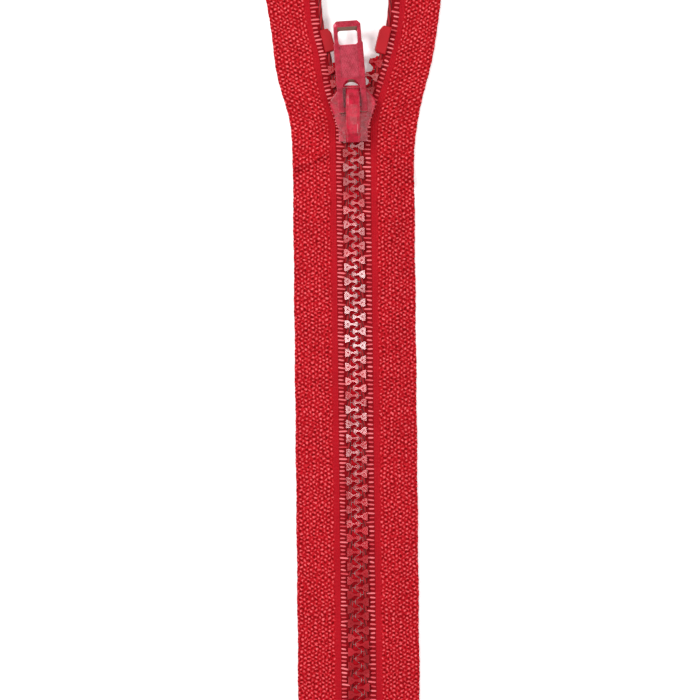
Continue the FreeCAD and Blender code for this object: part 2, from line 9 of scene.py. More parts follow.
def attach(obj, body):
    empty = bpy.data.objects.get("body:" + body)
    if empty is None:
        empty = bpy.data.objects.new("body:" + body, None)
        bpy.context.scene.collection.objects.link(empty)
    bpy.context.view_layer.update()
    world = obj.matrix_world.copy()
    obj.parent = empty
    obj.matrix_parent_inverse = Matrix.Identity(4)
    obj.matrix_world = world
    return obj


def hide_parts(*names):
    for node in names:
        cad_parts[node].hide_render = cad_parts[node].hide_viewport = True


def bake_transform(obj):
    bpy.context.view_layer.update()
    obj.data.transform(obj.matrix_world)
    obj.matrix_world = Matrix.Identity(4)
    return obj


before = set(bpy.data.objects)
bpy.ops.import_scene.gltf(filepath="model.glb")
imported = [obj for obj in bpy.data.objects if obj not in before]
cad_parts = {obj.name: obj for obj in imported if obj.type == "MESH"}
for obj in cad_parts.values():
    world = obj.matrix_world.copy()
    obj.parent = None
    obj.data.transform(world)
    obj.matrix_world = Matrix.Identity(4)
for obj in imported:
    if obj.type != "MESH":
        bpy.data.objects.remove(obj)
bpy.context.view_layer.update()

SEED = 41
MM = 0.001

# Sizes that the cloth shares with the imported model, in millimetres
TAPE_LENGTH = 250.0
TOP_Y = TAPE_LENGTH / 2
TAPE_HALF_WIDTH = 16.55
TAPE_THICKNESS = 0.56   # slightly less than the modelled tape's
CHAIN_HEIGHT = 2.65
EDGE_HEIGHT = 0.5
FLAT_REACH = 7.0
DROOP_REACH = 17.6
CORD_OFFSET = 2.0
CORD_RADIUS = 0.6
PART_PLACE = 233.5
PIN_OUTER = 2.87
TUCK_RUN = 1.5          # length over which the tape's inner edge moves out past the pin
# How far a line has moved outward where the tapes part, and its distance from the top
CORD_FLARE = {
    "left": [(0, 46.5), (0.85, 43.0), (2.2, 38.9), (3.2, 34.5), (4.5, 26.2), (5.8, 20.8), (6.8, 0)],
    "right": [(0, 46.5), (0.85, 43.0), (2.2, 38.9), (3.6, 34.5), (6.1, 26.2), (7.6, 20.0), (8.9, 0)],
}
OUTER_FLARE = {
    "left": [(0, 55.0), (0.85, 44.6), (2.95, 36.5), (4.35, 30.2), (5.65, 19.2), (8.85, 0)],
    "right": [(0, 55.0), (1.15, 45.1), (3.55, 34.8), (5.65, 26.2), (7.65, 12.4), (8.85, 0)],
}
SIGN = {"left": -1, "right": 1}

# Shape of the cloth
ROW_STEP = 0.5
COLUMNS = 44
COLUMN_POWER = 1.12     # above 1 the columns are closer together beside the chain
CORD_OVERLAP = 0.12     # of the tape's cloth over the cord
BLEND_RUN = 9.0         # length below which a side's ripple fades
CALM_REACH = 6.5        # the tape lies level out to this distance from the chain's centre
CREASE_RISE = 3.0       # length over which a crease grows beyond it
RIPPLE_RISE = 6.0
RIPPLES = ((0.035, 0.16), (0.075, 0.1), (0.19, 0.05), (0.33, 0.03))   # radians per mm and height
EDGE_WAVES = ((6.6, 0.05), (1.7, 0.05), (0.31, 0.07))                 # the same for the outer edge
EDGE_INSET = 0.1
SELVEDGE = {-1: 0.45, -2: 0.9}   # thickness shares of the outermost columns
GROUND_GAP = 0.04

# Twisted cord
CORD_STEPS_AROUND = 14
CORD_STEP = 0.22
CORD_PLIES = 3
CORD_LAY = 3.4          # length of a third of a ply's turn
CORD_INSET = 0.03
PLY_DEPTH = 0.14

# Binding stitches
STITCH_PITCH = {"left": 1.07, "right": 1.2}
STITCH_OFFSET = 1.9
STITCH_LENGTH = 1.5
STITCH_RADIUS = 0.265
STITCH_SHADE_REACH = (3.0, 2.7)      # cord centre to where the painted shade under the stitches fades
STITCH_START = 0.7      # length along the cord before the first stitch
LONG_STITCH_EVERY = 4
LONG_STITCH_TURN = {"left": 1, "right": 2}
LONG_STITCH_EXTRA = 0.75
LONG_STITCH_INSET = 0.32
STITCH_LEAN = {"left": 5, "right": -4}    # degrees
THREAD_GAP = 0.04       # tape's face to the middle of the thread
BOW = 0.06              # rise of a stitch's middle
PILL_STEPS = 7          # points around a stitch

# Weave
BAND_END = 4.3          # cord centre to the outer edge of the smooth band
WEAVE_CELL = (1.92, 2.31)
RIB_PITCH, PICK_PITCH = 0.42, 0.36
# Soft creases: x and distance from the top of both ends, height and width
CREASES = {
    "left": [(-6.0, 53.5, -15.5, 57.0, 1.5, 1.1), (-8.0, 60.0, -15.0, 60.0, -0.7, 1.8)],
    "right": [(8.0, 53.5, 15.5, 60.5, 1.5, 1.2), (9.0, 58.0, 15.5, 64.5, -0.7, 1.8)],
}

# Pebbled inlays of the pull tab
PIVOT = (0, TOP_Y - 50.7 + 8.4, 6.6)
TAB_LEAN, TAB_TILT = 3.5, -3.0      # degrees
PANEL_SIZE = (4.7, 8.5)
PANEL_CELLS = (60, 108)
PANEL_START = 8.8       # pivot to the inlay's near edge
PANEL_FLOOR = 0.51      # tab's middle to the inlay
PEBBLE_PITCH = (0.66, 0.62)
PEBBLE_COUNT = (9, 15)
PEBBLE_RIM = 0.2

# Camera and lights in metres: name, place, target, width, length, watts
VIEW_CENTRE = Vector((-1.46, 18.0, 3.0)) * MM
VIEW_WIDTH = 189.2 * MM
CAMERA_HEIGHT = 1.0
CAMERA_TURN = -0.6      # degrees
WORLD_STRENGTH = 0.42
LIGHTS = [
    ("key", (-0.55, 0.45, 0.75), (0, 0.01, 0), 0.35, None, 7.2),
    ("fill", (0.7, -0.2, 0.7), (0, 0.01, 0), 0.6, None, 3.2),
    ("kicker", (0.42, -0.13, 0.88), (0, 0.07, 0), 0.1, None, 1.3),
    ("overhead", (0.0, 0.085, 1.08), (0, 0.02, 0), 0.2, 0.11, 0.34),
    ("flash", (0.004, 0.014, 1.06), (0, 0.02, 0), 0.09, 0.055, 0.5),
]
FLOOR_HALF = 1.5
FLOOR_DROP = 0.00005

random.seed(SEED)
rng = np.random.default_rng(SEED)


# ---------------------------------------------------------------- shapes

def spline(points, samples=160):
    """Smooth curve through points that starts along +Y, as an array of (x, y)."""
    p = np.array(points, float)
    t = np.concatenate([[0], np.cumsum(np.linalg.norm(np.diff(p, axis=0), axis=1))])
    n = len(p)
    start = np.array([0.0, 1.0])
    end = (p[-1] - p[-2]) / np.linalg.norm(p[-1] - p[-2])
    a, b = np.zeros((n, n)), np.zeros((n, 2))
    a[0, 0] = a[-1, -1] = 1
    b[0], b[-1] = start, end
    for i in range(1, n - 1):
        h0, h1 = t[i] - t[i - 1], t[i + 1] - t[i]
        a[i, i - 1], a[i, i], a[i, i + 1] = h1, 2 * (h0 + h1), h0
        b[i] = 3 * (h1 / h0 * (p[i] - p[i - 1]) + h0 / h1 * (p[i + 1] - p[i]))
    d = np.linalg.solve(a, b)
    s = np.linspace(0, t[-1], samples)
    k = np.clip(np.searchsorted(t, s, side="right") - 1, 0, n - 2)
    h = (t[k + 1] - t[k])[:, None]
    u = ((s - t[k]) / (t[k + 1] - t[k]))[:, None]
    h00, h10 = 2 * u**3 - 3 * u**2 + 1, u**3 - 2 * u**2 + u
    h01, h11 = -2 * u**3 + 3 * u**2, u**3 - u**2
    return h00 * p[k] + h10 * h * d[k] + h01 * p[k + 1] + h11 * h * d[k + 1]


def level(reach):
    """Height of the tape's middle surface at a distance from the chain's centre."""
    run, drop = DROOP_REACH - FLAT_REACH, CHAIN_HEIGHT - EDGE_HEIGHT
    radius = (run**2 + drop**2) / (4 * drop)
    reach = np.asarray(reach, float)
    first = CHAIN_HEIGHT - radius + np.sqrt(np.maximum(radius**2 - (reach - FLAT_REACH) ** 2, 0))
    second = EDGE_HEIGHT + radius - np.sqrt(np.maximum(radius**2 - (DROOP_REACH - reach) ** 2, 0))
    middle = (FLAT_REACH + DROOP_REACH) / 2
    z = np.where(reach < middle, first, second)
    z = np.where(reach <= FLAT_REACH, CHAIN_HEIGHT, z)
    return np.where(reach >= DROOP_REACH, EDGE_HEIGHT, z)


def climbing(closed, flare, bottom):
    """A line up the zipper, straight from bottom and then along its flare, as (x, y) points."""
    points = [(closed + moved, TOP_Y - place) for moved, place in flare]
    curve = spline(points)
    straight_y = np.arange(bottom, curve[0, 1] - 0.3, 0.5)
    straight = np.stack([np.full_like(straight_y, curve[0, 0]), straight_y], 1)
    return np.concatenate([straight, curve])


class Line:
    """A climbing line with places and headings by length and by height."""

    def __init__(self, closed, flare, bottom=-TOP_Y):
        self.points = climbing(closed, flare, bottom)
        steps = np.linalg.norm(np.diff(self.points, axis=0), axis=1)
        self.s = np.concatenate([[0], np.cumsum(steps)])
        way = np.gradient(self.points, self.s, axis=0)
        self.way = way / np.linalg.norm(way, axis=1)[:, None]
        self.length = self.s[-1]

    def at(self, s):
        """Place and unit heading at a length along the line."""
        place = np.array([np.interp(s, self.s, self.points[:, i]) for i in (0, 1)])
        way = np.array([np.interp(s, self.s, self.way[:, i]) for i in (0, 1)])
        return place, way / np.linalg.norm(way)

    def x(self, y):
        """Distance from the centre at a height up the zipper."""
        return np.interp(y, self.points[:, 1], self.points[:, 0])

    def s_at(self, y):
        """Length along the line at a height up the zipper."""
        return np.interp(y, self.points[:, 1], self.s)


def make_mesh(name, verts, faces, smooth=True, **attributes):
    """New object from vertices in millimetres; attributes are one vector or number per vertex."""
    mesh = bpy.data.meshes.new(name)
    mesh.from_pydata((np.asarray(verts) * MM).tolist(), [], faces)
    mesh.validate()
    for key, values in attributes.items():
        values = np.asarray(values, np.float32)
        kind = "FLOAT_VECTOR" if values.ndim == 2 else "FLOAT"
        layer = mesh.attributes.new(key, kind, "POINT")
        layer.data.foreach_set("vector" if values.ndim == 2 else "value", values.ravel())
    mesh.polygons.foreach_set("use_smooth", [smooth] * len(mesh.polygons))
    mesh.update()
    obj = bpy.data.objects.new(name, mesh)
    bpy.context.scene.collection.objects.link(obj)
    return obj


def flip(faces, side):
    """Faces with their normals outward on both sides of the zipper."""
    return faces if side == "right" else [f[::-1] for f in faces]


def crease(side, x, y):
    """Height added by the tape's soft creases where it starts to part."""
    lift = np.zeros_like(x)
    rise = np.clip((x - CALM_REACH) / CREASE_RISE, 0, 1)
    for x0, t0, x1, t1, height, width in CREASES[side]:
        a, b = np.array([abs(x0), TOP_Y - t0]), np.array([abs(x1), TOP_Y - t1])
        run = b - a
        share = ((x - a[0]) * run[0] + (y - a[1]) * run[1]) / (run @ run)
        across = (-(x - a[0]) * run[1] + (y - a[1]) * run[0]) / np.linalg.norm(run)
        along = np.exp(-np.maximum(np.abs(share - 0.6) - 0.35, 0) ** 2 * 9)
        lift += height * np.exp(-(across / width) ** 2) * along * rise
    return lift


def ripple(x, y, wander):
    """Slight unevenness of laid tape, none beside the chain."""
    away = np.clip((x - CALM_REACH) / RIPPLE_RISE, 0, 1)
    z = np.zeros_like(x)
    for fx, fy, phase, size in wander:
        z += size * np.sin(fx * x + fy * y + phase)
    return z * away


def tape_cloth(side):
    """One whole woven tape, from its bottom end to its top end."""
    cord_line = Line(CORD_OFFSET, CORD_FLARE[side])
    outer_line = Line(TAPE_HALF_WIDTH, OUTER_FLARE[side])
    ys = np.arange(-TOP_Y, TOP_Y + 0.01, ROW_STEP)
    wander = [(rng.uniform(-0.1, 0.1), f, rng.uniform(0, 6.3), a)
              for f, a in RIPPLES]
    wobble = rng.uniform(0, 6.3, 3)
    share = np.linspace(0, 1, COLUMNS) ** COLUMN_POWER
    top, bottom, cloth = [], [], []
    for y in ys:
        place = TOP_Y - y
        inner = cord_line.x(y) + CORD_RADIUS - CORD_OVERLAP
        tuck = [PART_PLACE - TUCK_RUN, PART_PLACE]
        inner = np.interp(place, tuck, [inner, PIN_OUTER + 0.02])
        edge = outer_line.x(y)
        for (pace, size), phase in zip(EDGE_WAVES, wobble):
            edge += size * math.sin(pace * y + phase)
        edge -= EDGE_INSET
        x = inner + (edge - inner) * share
        calm = np.clip((PART_PLACE - place) / BLEND_RUN, 0, 1)
        z = level(x) + crease(side, x, np.full_like(x, y)) + ripple(x, y, wander) * calm
        half = np.full_like(x, TAPE_THICKNESS / 2)
        for column, thinner in SELVEDGE.items():
            half[column] *= thinner
        z = np.maximum(z, half + GROUND_GAP)
        yy = np.full_like(x, y)
        s = cord_line.s_at(y)
        flat_x = CORD_RADIUS + (TAPE_HALF_WIDTH - CORD_OFFSET - CORD_RADIUS) * share
        top.append(np.stack([x, yy, z + half], 1))
        bottom.append(np.stack([x, yy, z - half], 1))
        cloth.append(np.stack([flat_x, np.full_like(x, s), np.zeros_like(x)], 1))
    rows, cols = len(ys), COLUMNS
    top, bottom, cloth = (np.concatenate(a) for a in (top, bottom, cloth))
    verts = np.concatenate([top, bottom])
    verts[:, 0] *= SIGN[side]
    base = rows * cols
    faces = []
    for r in range(rows - 1):
        for c in range(cols - 1):
            a, b = r * cols + c, r * cols + c + 1
            d, e = a + cols, b + cols
            faces.append((a, b, e, d))
            faces.append((base + a, base + d, base + e, base + b))
        for c, order in ((0, 1), (cols - 1, -1)):
            a = r * cols + c
            d = a + cols
            faces.append((a, d, base + d, base + a)[::order])
    for r, order in ((0, 1), (rows - 1, -1)):
        for c in range(cols - 1):
            a = r * cols + c
            faces.append((a, base + a, base + a + 1, a + 1)[::order])
    cloth = np.concatenate([cloth, cloth])
    piece = make_mesh(side + "_tape_cloth", verts, flip(faces, side), cloth=cloth)
    return piece, cord_line.length


def tube_faces(rings, around):
    """Faces of a capped tube from rings of points."""
    faces = []
    for r in range(rings - 1):
        for k in range(around):
            a, b = r * around + k, r * around + (k + 1) % around
            faces.append((a, b, b + around, a + around))
    faces.append(tuple(range(around))[::-1])
    faces.append(tuple((rings - 1) * around + k for k in range(around)))
    return faces


def cord_cloth(side):
    """Edge cord: three plies twisted together, along the tape's inner edge."""
    line = Line(CORD_OFFSET, CORD_FLARE[side], bottom=TOP_Y - PART_PLACE)
    around = CORD_STEPS_AROUND
    count = int(line.length / CORD_STEP)
    verts, cloth = [], []
    for i in range(count + 1):
        s = line.length * i / count
        (x, y), (wx, wy) = line.at(s)
        z = float(level(x))
        swell = 1.0 if 0 < i < count else 0.8
        for k in range(around):
            turn = 2 * math.pi * k / around
            twist = 2 * math.pi * s / (CORD_LAY * CORD_PLIES)
            ply = 0.5 + 0.5 * math.cos(CORD_PLIES * (turn - twist))
            radius = (CORD_RADIUS - CORD_INSET) * (1 - PLY_DEPTH + PLY_DEPTH * ply) * swell
            across, up = radius * math.cos(turn), radius * math.sin(turn)
            verts.append((x + wy * across, y - wx * across, z + up))
            cloth.append((k * 0.3, s, ply))
    verts = np.array(verts)
    verts[:, 0] *= SIGN[side]
    faces = [f[::-1] for f in tube_faces(count + 1, around)]
    return make_mesh(side + "_twisted_cord", verts, flip(faces, side), cloth=cloth)


def pill(length, radius):
    """Unit thread segment along X: vertices and faces."""
    half, around = length / 2, PILL_STEPS
    stations = [(-half, 0.35), (-half + radius * 0.45, 0.82), (-half * 0.45, 1.0)]
    stations += [(-x, share) for x, share in reversed(stations)]
    verts = []
    for x, share in stations:
        for k in range(around):
            turn = 2 * math.pi * k / around
            across, up = radius * share * math.cos(turn), radius * 0.8 * share * math.sin(turn)
            verts.append((x, across, up + BOW * (1 - (x / half) ** 2)))
    return np.array(verts), tube_faces(len(stations), around)


def stitches(side, face):
    """Column of short binding threads beside the cord; face is 1 in front and -1 behind."""
    line = Line(CORD_OFFSET, CORD_FLARE[side], bottom=TOP_Y - PART_PLACE)
    pitch = STITCH_PITCH[side]
    verts, faces, tint = [], [], []
    count = int((line.length - 1.0) / pitch)
    for i in range(count):
        s = STITCH_START + pitch * i
        (x, y), (wx, wy) = line.at(s)
        long = i % LONG_STITCH_EVERY == LONG_STITCH_TURN[side] or random.random() < 0.06
        length = STITCH_LENGTH * random.uniform(0.88, 1.08) + (LONG_STITCH_EXTRA if long else 0)
        offset = STITCH_OFFSET + random.uniform(-0.08, 0.08) - (LONG_STITCH_INSET if long else 0)
        shape, shape_faces = pill(length, STITCH_RADIUS * random.uniform(0.9, 1.08))
        lean = math.radians(random.gauss(STITCH_LEAN[side], 4))
        cos, sin = math.cos(lean), math.sin(lean)
        across = shape[:, 0] * cos - shape[:, 1] * sin + offset
        along = shape[:, 0] * sin + shape[:, 1] * cos
        px = x + wy * across + wx * along
        py = y - wx * across + wy * along
        pz = level(px) + face * (TAPE_THICKNESS / 2 + THREAD_GAP + shape[:, 2])
        first = len(verts)
        verts.extend(np.stack([px, py, pz], 1))
        turned = shape_faces if face == 1 else [f[::-1] for f in shape_faces]
        faces.extend(tuple(first + k for k in f) for f in turned)
        tint.extend([random.random()] * len(shape))
    verts = np.array(verts)
    verts[:, 0] *= SIGN[side]
    name = side + ("_front_stitches" if face == 1 else "_back_stitches")
    return make_mesh(name, verts, flip(faces, side), tint=tint)


def pebble_panel(name, face):
    """Pebbled inlay on the floor of the pull tab's sunk panel."""
    (width, length), (nx, ny) = PANEL_SIZE, PANEL_CELLS
    spots = []
    for i in range(-1, PEBBLE_COUNT[0]):
        for j in range(-1, PEBBLE_COUNT[1]):
            px = (i + 0.5 * (j % 2)) * PEBBLE_PITCH[0] + rng.uniform(-0.1, 0.1)
            py = j * PEBBLE_PITCH[1] + rng.uniform(-0.1, 0.1)
            spots.append((px, py, rng.uniform(0.22, 0.32), rng.uniform(0.07, 0.12)))
    xs, ys = np.meshgrid(np.linspace(0, width, nx), np.linspace(0, length, ny))
    height = np.zeros_like(xs)
    for px, py, radius, tall in spots:
        square = ((xs - px) ** 2 + (ys - py) ** 2) / radius**2
        height = np.maximum(height, tall * np.sqrt(np.clip(1 - square, 0, 1)))
    rim = np.minimum.reduce([xs, width - xs, ys, length - ys])
    height *= np.clip(rim / PEBBLE_RIM, 0, 1)
    verts = np.stack([xs - width / 2, ys, height], -1).reshape(-1, 3)
    faces = []
    for r in range(ny - 1):
        for c in range(nx - 1):
            a = r * nx + c
            faces.append((a, a + 1, a + nx + 1, a + nx))
    place = Matrix.Translation(Vector(PIVOT))
    place @= Matrix.Rotation(math.radians(TAB_TILT), 4, "X")
    place @= Matrix.Rotation(math.radians(TAB_LEAN), 4, "Z")
    moved = []
    for x, y, z in verts:
        p = Vector((x, PANEL_START + y, face * (PANEL_FLOOR + z)))
        moved.append(tuple(place @ p))
    if face == -1:
        faces = [f[::-1] for f in faces]
    return make_mesh(name, moved, faces)


# ---------------------------------------------------------------- materials: colours are 0-255 sRGB

def srgb(r, g, b):
    """Linear colour from 0-255 sRGB values."""
    out = []
    for c in (r, g, b):
        c /= 255
        out.append(c / 12.92 if c <= 0.04045 else ((c + 0.055) / 1.055) ** 2.4)
    return (*out, 1)


class Shader:
    """A node material being built."""

    def __init__(self, name):
        self.material = bpy.data.materials.new(name)
        self.material.use_nodes = True
        self.tree = self.material.node_tree
        self.bsdf = self.tree.nodes["Principled BSDF"]

    def node(self, kind, **settings):
        """New node; each setting is an input socket's number or a property."""
        node = self.tree.nodes.new(kind)
        for key, value in settings.items():
            if key in node.inputs:
                node.inputs[key].default_value = value
            else:
                setattr(node, key, value)
        return node

    def link(self, a, b):
        self.tree.links.new(a, b)

    def set(self, **values):
        """Numbers and colours set directly on the surface's sockets."""
        for key, value in values.items():
            self.bsdf.inputs[key.replace("_", " ")].default_value = value

    def math(self, operation, a, b=None, c=None):
        """One math node; each of a, b and c is a number or a socket."""
        node = self.node("ShaderNodeMath", operation=operation)
        for i, value in enumerate((a, b, c)):
            if value is None:
                continue
            if isinstance(value, (int, float)):
                node.inputs[i].default_value = value
            else:
                self.link(value, node.inputs[i])
        return node.outputs[0]

    def mix(self, factor, a, b):
        """Colour between a and b."""
        node = self.node("ShaderNodeMix", data_type="RGBA")
        for value, socket in ((factor, node.inputs[0]), (a, node.inputs[6]), (b, node.inputs[7])):
            if isinstance(value, (int, float, tuple)):
                socket.default_value = value
            else:
                self.link(value, socket)
        return node.outputs[2]

    def step(self, value, low, high):
        """0 below low, 1 above high, smooth between."""
        node = self.node("ShaderNodeMapRange", interpolation_type="SMOOTHSTEP")
        self.link(value, node.inputs[0])
        node.inputs[1].default_value, node.inputs[2].default_value = low, high
        return node.outputs[0]

    def noise(self, vector, scale, detail=2.0, rough=0.5):
        node = self.node("ShaderNodeTexNoise", Scale=scale, Detail=detail, Roughness=rough)
        self.link(vector, node.inputs["Vector"])
        return node.outputs["Fac"]

    def attribute(self, name):
        return self.node("ShaderNodeAttribute", attribute_name=name)

    def position(self):
        return self.node("ShaderNodeTexCoord").outputs["Object"]

    def bump(self, height, distance, strength=1.0):
        node = self.node("ShaderNodeBump", Distance=distance, Strength=strength)
        self.link(height, node.inputs["Height"])
        self.link(node.outputs[0], self.bsdf.inputs["Normal"])


def tape_material():
    """Woven tape: a smooth ribbed band beside the chain and a broken crepe weave outside it, with
    painted highlight and painted shade on the yarns.
    """
    m = Shader("tape_weave")
    cloth = m.attribute("cloth").outputs["Vector"]
    parts = m.node("ShaderNodeSeparateXYZ")
    m.link(cloth, parts.inputs[0])

    def shifted(value, offset):
        """Value moved by a short and a long unevenness of the yarns."""
        place = m.node("ShaderNodeVectorMath", operation="ADD")
        m.link(cloth, place.inputs[0])
        place.inputs[1].default_value = offset
        for scale, reach in ((1.3, 0.75), (0.26, 1.2)):
            uneven = m.math("SUBTRACT", m.noise(place.outputs[0], scale, 1.0), 0.5)
            value = m.math("MULTIPLY_ADD", uneven, reach, value)
        return value

    def wave(value, period, kind="COSINE"):
        return m.math(kind, m.math("MULTIPLY", value, 2 * math.pi / period))

    x, y = shifted(parts.outputs[0], (0, 0, 0)), shifted(parts.outputs[1], (7, 31, 5))
    wide, tall = WEAVE_CELL
    relief = m.math("MULTIPLY", wave(x, wide), wave(y, tall / 2))
    relief = m.math("MULTIPLY_ADD", relief, 0.34, 0.5)
    second = m.math("MULTIPLY", wave(x, wide / 2, "SINE"), wave(y, tall, "SINE"))
    relief = m.math("MULTIPLY_ADD", second, 0.12, relief)
    relief = m.math("MULTIPLY_ADD", wave(y, tall / 2), 0.05, relief)
    relief = m.math("MULTIPLY_ADD", wave(x, wide / 2), 0.08, relief)
    loose = m.math("SUBTRACT", m.noise(cloth, 1.5, 2.0, 0.6), 0.5)
    relief = m.math("MULTIPLY_ADD", loose, 1.25, relief)
    # fine ribs along the smooth band, with painted shade in the rib hollows and painted highlight on the
    # picks
    rib, pick = wave(parts.outputs[0], RIB_PITCH), wave(parts.outputs[1], PICK_PITCH)
    outside = m.step(x, BAND_END - 0.3, BAND_END + 0.3)
    patch = m.noise(cloth, 0.16, 2.0)
    thread = m.noise(cloth, 6.0, 2.0, 0.6)
    # the darkest and the palest of these reds are painted shade and painted highlight on the yarns
    yarn_shade, base = srgb(116, 0, 4), srgb(186, 14, 28)
    yarn_highlight, smooth_red = srgb(246, 108, 114), srgb(184, 8, 28)
    # painted shade on the low yarns and painted highlight on the raised knuckles, following the weave's
    # relief
    coarse = m.mix(m.step(relief, 0.15, 0.55), yarn_shade, base)
    coarse = m.mix(m.step(relief, 0.55, 1.12), coarse, yarn_highlight)
    fine = m.mix(m.math("MULTIPLY_ADD", rib, 0.12, 0.16), smooth_red, srgb(128, 0, 10))
    fine = m.mix(m.math("MULTIPLY", m.step(pick, 0.2, 1.0), 0.1), fine, yarn_highlight)
    # painted shade on the tape below the binding stitches, between the teeth bases
    stitch_shade = m.step(parts.outputs[0], *STITCH_SHADE_REACH)
    fine = m.mix(m.math("MULTIPLY", stitch_shade, 0.75), fine, srgb(116, 0, 8))
    colour = m.mix(outside, fine, coarse)
    colour = m.mix(m.math("MULTIPLY", m.step(patch, 0.35, 0.75), 0.2), colour, srgb(132, 0, 10))
    colour = m.mix(m.math("MULTIPLY", m.step(thread, 0.55, 0.8), 0.12), colour, srgb(225, 50, 62))
    m.link(colour, m.bsdf.inputs["Base Color"])
    high = m.math("MULTIPLY", m.math("ADD", relief, m.math("MULTIPLY", thread, 0.2)), outside)
    low = m.math("ADD", m.math("MULTIPLY", rib, 0.3), m.math("MULTIPLY", pick, 0.12))
    low = m.math("MULTIPLY", low, m.math("SUBTRACT", 1.0, outside))
    m.bump(m.math("ADD", high, low), 0.00018, 0.8)
    m.link(m.math("MULTIPLY_ADD", relief, -0.25, 0.85), m.bsdf.inputs["Roughness"])
    m.set(Sheen_Weight=0.05, Sheen_Roughness=0.45, Sheen_Tint=srgb(255, 60, 70), Specular_IOR_Level=0.08)
    return m.material


def cord_material():
    """Twisted filament cord, coloured dark as painted shade, with deeper painted shade in the grooves
    between plies.
    """
    m = Shader("edge_cord_thread")
    cloth = m.attribute("cloth").outputs["Vector"]
    parts = m.node("ShaderNodeSeparateXYZ")
    m.link(cloth, parts.inputs[0])
    ply = parts.outputs[2]
    fibre = m.noise(cloth, 5.0, 3.0, 0.6)
    # dark reds are painted shade on the cord, deepest in the grooves between the plies
    colour = m.mix(m.step(ply, 0.05, 0.7), srgb(84, 0, 6), srgb(158, 6, 20))
    colour = m.mix(m.math("MULTIPLY", m.step(fibre, 0.5, 0.8), 0.4), colour, srgb(210, 50, 62))
    m.link(colour, m.bsdf.inputs["Base Color"])
    m.bump(fibre, 0.00008, 0.7)
    m.set(Roughness=0.6, Sheen_Weight=0.08, Sheen_Roughness=0.5, Specular_IOR_Level=0.25)
    return m.material


def stitch_material():
    """Binding thread, made bright with painted sheen."""
    m = Shader("binding_thread_shine")
    tint = m.attribute("tint").outputs["Fac"]
    place = m.position()
    fibre = m.noise(place, 5200.0, 2.0, 0.6)
    # each stitch gets a random tint from red to pale pink; the pale end is painted sheen on the raised
    # thread
    colour = m.mix(tint, srgb(206, 44, 58), srgb(250, 124, 130))
    colour = m.mix(m.math("MULTIPLY", m.step(fibre, 0.45, 0.75), 0.2), colour, srgb(186, 22, 38))
    m.link(colour, m.bsdf.inputs["Base Color"])
    m.bump(fibre, 0.00005, 0.6)
    m.set(Roughness=0.45, Sheen_Weight=0.08, Specular_IOR_Level=0.4)
    return m.material


def moulded_material(name, deep, light, roughness, webbed=False):
    """Injection-moulded acetal with a glossy skin that is slightly wavy from piece to piece."""
    m = Shader(name)
    place = m.position()
    cloud = m.noise(place, 110.0, 1.0, 0.5)
    colour = m.mix(m.step(cloud, 0.3, 0.75), deep, light)
    rough = m.math("MULTIPLY_ADD", m.step(cloud, 0.35, 0.7), 0.06, roughness)
    if webbed:
        # the webs about the middle plane are matt, the outer faces polished
        parts = m.node("ShaderNodeSeparateXYZ")
        m.link(place, parts.inputs[0])
        depth = m.math("ABSOLUTE", m.math("SUBTRACT", parts.outputs[2], CHAIN_HEIGHT * MM))
        face = m.step(depth, 0.0007, 0.0011)
        rough = m.math("ADD", rough, m.math("MULTIPLY", m.math("SUBTRACT", 1.0, face), 0.6))
        colour = m.mix(face, srgb(168, 4, 22), colour)
        m.link(m.math("MULTIPLY_ADD", face, 0.38, 0.1), m.bsdf.inputs["Specular IOR Level"])
    else:
        m.set(Specular_IOR_Level=0.25)
    m.link(colour, m.bsdf.inputs["Base Color"])
    m.link(rough, m.bsdf.inputs["Roughness"])
    m.bump(cloud, 0.00025, 1.0)
    return m.material


def enamel_material(name, deep, light, edge_highlight, edge_highlight_share=0.75, rough=0.24, coat=0.12, slant_reflection=False):
    """Baked enamel on a zinc casting: orange peel, fine pits and paler edges, which are a painted
    highlight.
    """
    m = Shader(name)
    coords = m.node("ShaderNodeTexCoord")
    place = coords.outputs["Object"]
    peel = m.noise(place, 900.0, 2.0, 0.5)
    pit = m.noise(place, 3800.0, 3.0, 0.6)
    cloud = m.noise(place, 620.0, 3.0, 0.6)
    colour = m.mix(m.step(cloud, 0.3, 0.7), deep, light)
    edge = m.node("ShaderNodeAmbientOcclusion", Distance=0.0006)
    edge.inside, edge.samples = True, 6
    # thin edges, found by inside ambient occlusion and broken into patches, get a pale pink: painted
    # highlight
    edge_highlight_mask = m.math("MULTIPLY", m.step(edge.outputs["AO"], 0.62, 0.25), m.step(cloud, 0.3, 0.55))
    colour = m.mix(m.math("MULTIPLY", edge_highlight_mask, edge_highlight_share), colour, edge_highlight)
    colour = m.mix(m.math("MULTIPLY", m.step(pit, 0.6, 0.78), 0.45), colour, srgb(96, 4, 24))
    if slant_reflection:
        # faces slanted toward -Y and tilted up get a grey-olive colour, a painted reflection of the pale
        # surroundings
        normal = m.node("ShaderNodeSeparateXYZ")
        m.link(coords.outputs["Normal"], normal.inputs[0])
        slant = m.math("MULTIPLY", m.step(normal.outputs[1], -0.3, -0.42),
                       m.step(normal.outputs[2], 0.2, 0.3))
        level_across = m.step(m.math("ABSOLUTE", normal.outputs[0]), 0.45, 0.2)
        reflection_share = m.math("MULTIPLY", m.math("MULTIPLY", slant, level_across), 0.85)
        colour = m.mix(reflection_share, colour, srgb(118, 104, 88))
    m.link(colour, m.bsdf.inputs["Base Color"])
    roughness = m.math("MULTIPLY_ADD", m.step(pit, 0.4, 0.8), 0.16, rough)
    m.link(roughness, m.bsdf.inputs["Roughness"])
    m.bump(m.math("ADD", peel, m.math("MULTIPLY", pit, 0.2)), 0.00008, 0.7)
    m.set(Specular_IOR_Level=0.4, Coat_Weight=coat, Coat_Roughness=0.12)
    return m.material


